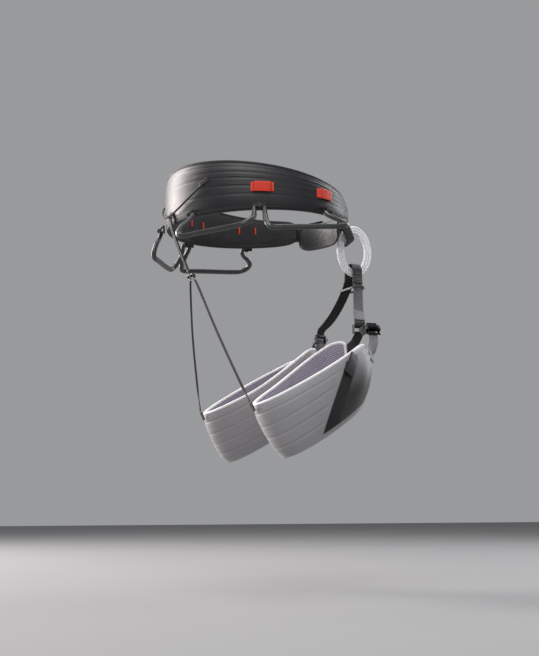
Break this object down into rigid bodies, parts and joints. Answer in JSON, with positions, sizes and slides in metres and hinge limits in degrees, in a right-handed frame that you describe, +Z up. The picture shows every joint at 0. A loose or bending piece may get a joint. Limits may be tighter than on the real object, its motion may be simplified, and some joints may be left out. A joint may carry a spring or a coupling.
{
  "type": "climbing harness",
  "caption": "Padded climbing harness with waist belt, leg loops, belay loop, gear loops and elastic rear risers.",
  "frame": {"origin": "middle of the waist opening, level with the belt's lower edge at the back", "axes": "+Z up, -Y towards the wearer's front, +X towards the wearer's left"},
  "size_m": [0.3541, 0.3741, 0.4394],
  "materials": {
    "belt_fabric": "matte",
    "foam": "matte",
    "belt_mesh": "matte",
    "binding_black": "satin",
    "webbing_grey": "satin",
    "buckle_metal": "satin",
    "webbing_red": "satin",
    "webbing_black": "satin",
    "loop_plastic": "gloss",
    "cord_black": "matte",
    "elastic_black": "matte",
    "webbing_white": "satin",
    "thread_white": "satin",
    "leg_fabric": "satin",
    "leg_mesh": "matte"
  },
  "bodies": {
    "waist": {"waist_shell": "belt_fabric", "waist_foam": "foam", "waist_liner": "belt_mesh", "waist_binding_top": "binding_black", "waist_binding_bottom": "binding_black", "front_pad": "belt_mesh", "waist_webbing": "webbing_grey", "waist_strap_tail": "webbing_grey", "waist_buckle_frame": "buckle_metal", "upper_tie_in_loop": "webbing_grey", "front_slot_right": "webbing_red", "front_slot_left": "webbing_red", "rear_slot_right": "webbing_red", "rear_slot_left": "webbing_red", "gear_tabs_right": "webbing_black", "gear_tabs_left": "webbing_black", "haul_loop_tabs": "webbing_black", "riser_strap": "webbing_black", "riser_hook": "loop_plastic", "riser_elastic_right": "elastic_black", "riser_elastic_left": "elastic_black", "bridge_webbing": "webbing_grey", "bridge_tacks": "thread_white", "bridge_keeper": "elastic_black"},
    "waist_buckle_slider": {"waist_buckle_slider": "buckle_metal"},
    "front_gear_loop_right": {"front_gear_loop_right": "loop_plastic"},
    "front_gear_loop_left": {"front_gear_loop_left": "loop_plastic"},
    "rear_gear_loop_right": {"rear_gear_loop_right": "loop_plastic"},
    "rear_gear_loop_left": {"rear_gear_loop_left": "loop_plastic"},
    "haul_loop": {"haul_loop": "cord_black"},
    "belay_loop": {"belay_loop": "webbing_white"},
    "leg_right": {"leg_shell_right": "leg_fabric", "leg_foam_right": "foam", "leg_liner_right": "leg_mesh", "leg_binding_right": "leg_fabric", "leg_stripe_right": "webbing_black", "leg_panel_right": "leg_fabric", "leg_keeper_right": "webbing_black", "leg_ring_right": "buckle_metal", "leg_outer_strap_right": "webbing_grey", "leg_inner_strap_right": "webbing_grey", "leg_buckle_frame_right": "buckle_metal", "leg_riser_tab_right": "webbing_black"},
    "leg_left": {"leg_shell_left": "leg_fabric", "leg_foam_left": "foam", "leg_liner_left": "leg_mesh", "leg_binding_left": "leg_fabric", "leg_stripe_left": "webbing_black", "leg_panel_left": "leg_fabric", "leg_keeper_left": "webbing_black", "leg_ring_left": "buckle_metal", "leg_outer_strap_left": "webbing_grey", "leg_inner_strap_left": "webbing_grey", "leg_buckle_frame_left": "buckle_metal", "leg_riser_tab_left": "webbing_black"},
    "leg_buckle_slider_right": {"leg_buckle_slider_right": "buckle_metal"},
    "leg_buckle_slider_left": {"leg_buckle_slider_left": "buckle_metal"}
  },
  "joints": [
    {"name": "waist_buckle_lock", "type": "hinge", "parent": "waist", "child": "waist_buckle_slider", "pos_m": [0.06016, -0.14173, 0.027], "axis": [0, 0, 1], "range_deg": [0, 55]},
    {"name": "front_gear_loop_right_swing", "type": "hinge", "parent": "waist", "child": "front_gear_loop_right", "pos_m": [-0.13998, -0.04957, 0.008], "axis": [0.0305, 0.9987, -0.0418], "range_deg": [-20, 40], "stiffness_Nm_per_rad": 0.4},
    {"name": "rear_gear_loop_right_swing", "type": "hinge", "parent": "waist", "child": "rear_gear_loop_right", "pos_m": [-0.13414, 0.0637, 0.0035], "axis": [0.7155, 0.6982, -0.0243], "range_deg": [-20, 40], "stiffness_Nm_per_rad": 0.4},
    {"name": "leg_right_swing", "type": "hinge", "parent": "waist", "child": "leg_right", "pos_m": [-0.062, -0.151, -0.145], "axis": [0.3007, 0.9537, 0], "range_deg": [0, 16], "deforming": ["riser_elastic_right"]},
    {"name": "leg_buckle_lock_right", "type": "hinge", "parent": "leg_right", "child": "leg_buckle_slider_right", "pos_m": [-0.0849, -0.15981, -0.15004], "axis": [-0.1736, -0.9848, 0], "range_deg": [0, 55]},
    {"name": "front_gear_loop_left_swing", "type": "hinge", "parent": "waist", "child": "front_gear_loop_left", "pos_m": [0.13998, -0.04957, 0.008], "axis": [0.0305, -0.9987, 0.0418], "range_deg": [-20, 40], "stiffness_Nm_per_rad": 0.4},
    {"name": "rear_gear_loop_left_swing", "type": "hinge", "parent": "waist", "child": "rear_gear_loop_left", "pos_m": [0.13414, 0.0637, 0.0035], "axis": [0.7155, -0.6982, 0.0243], "range_deg": [-20, 40], "stiffness_Nm_per_rad": 0.4},
    {"name": "leg_left_swing", "type": "hinge", "parent": "waist", "child": "leg_left", "pos_m": [0.062, -0.151, -0.145], "axis": [0.3007, -0.9537, 0], "range_deg": [0, 16], "deforming": ["riser_elastic_left"]},
    {"name": "leg_buckle_lock_left", "type": "hinge", "parent": "leg_left", "child": "leg_buckle_slider_left", "pos_m": [0.0849, -0.15981, -0.15004], "axis": [-0.1736, 0.9848, 0], "range_deg": [0, 55]},
    {"name": "belay_loop_turn", "type": "hinge", "parent": "waist", "child": "belay_loop", "pos_m": [0, -0.18, -0.0105], "axis": [0, 0, 1], "range_deg": [-9, 9]},
    {"name": "haul_loop_swing", "type": "hinge", "parent": "waist", "child": "haul_loop", "pos_m": [0, 0.12551, 0.042], "axis": [1, 0, 0], "range_deg": [0, 65]}
  ]
}
